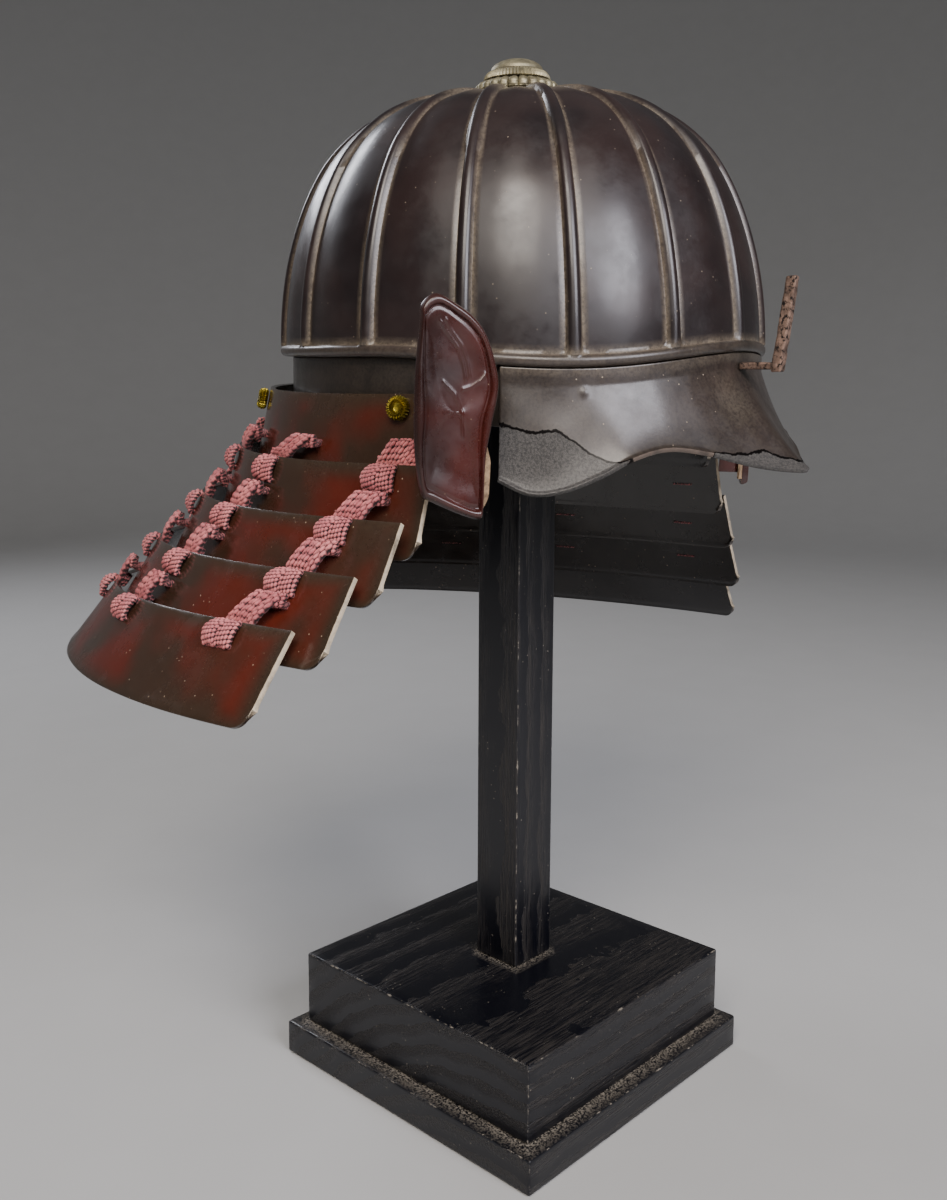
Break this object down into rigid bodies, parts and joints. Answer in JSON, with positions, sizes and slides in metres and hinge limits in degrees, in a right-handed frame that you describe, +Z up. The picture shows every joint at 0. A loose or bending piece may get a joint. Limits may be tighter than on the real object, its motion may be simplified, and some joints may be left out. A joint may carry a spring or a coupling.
{
  "type": "samurai helmet on display stand",
  "caption": "Ribbed lacquered samurai helmet with peak, turned-back wings and a laced, flared neck guard, resting on a plain wooden post stand.",
  "frame": {"origin": "centre of the plinth's underside", "axes": "+Z up, the helmet's front faces -Y, the wearer's right side is -X"},
  "size_m": [0.3975, 0.3701, 0.4925],
  "materials": {
    "black_lacquer": "satin brown-black lacquer, dusty beside the ribs",
    "red_lacquer": "translucent red-brown lacquer, chipped pale edges",
    "worn_iron": "worn, rust brown",
    "aged_bronze": "dull olive bronze",
    "gilt_brass": "bright gilt",
    "silk_braid": "dusty pink braided silk",
    "black_wood": "black stained, satin"
  },
  "bodies": {
    "root": {"bowl": "black_lacquer", "waist_band": "black_lacquer", "peak": "black_lacquer", "crest_prong": "worn_iron", "finial_petal_plate": "aged_bronze", "finial_beaded_ring": "aged_bronze", "finial_dome": "aged_bronze", "neck_lame_1": "red_lacquer", "neck_lame_2": "red_lacquer", "neck_lame_3": "red_lacquer", "neck_lame_4": "red_lacquer", "neck_lame_5": "red_lacquer", "turnback_right": "red_lacquer", "turnback_left": "red_lacquer", "rosette_1": "gilt_brass", "rosette_2": "gilt_brass", "rosette_3": "gilt_brass", "rosette_4": "gilt_brass", "lacing_1": "silk_braid", "lacing_2": "silk_braid", "lacing_3": "silk_braid", "lacing_4": "silk_braid", "lacing_5": "silk_braid", "lacing_6": "silk_braid", "lacing_7": "silk_braid", "lacing_8": "silk_braid", "lacing_9": "silk_braid", "stand_post": "black_wood", "stand_block": "black_wood", "stand_plinth": "black_wood"}
  },
  "joints": []
}
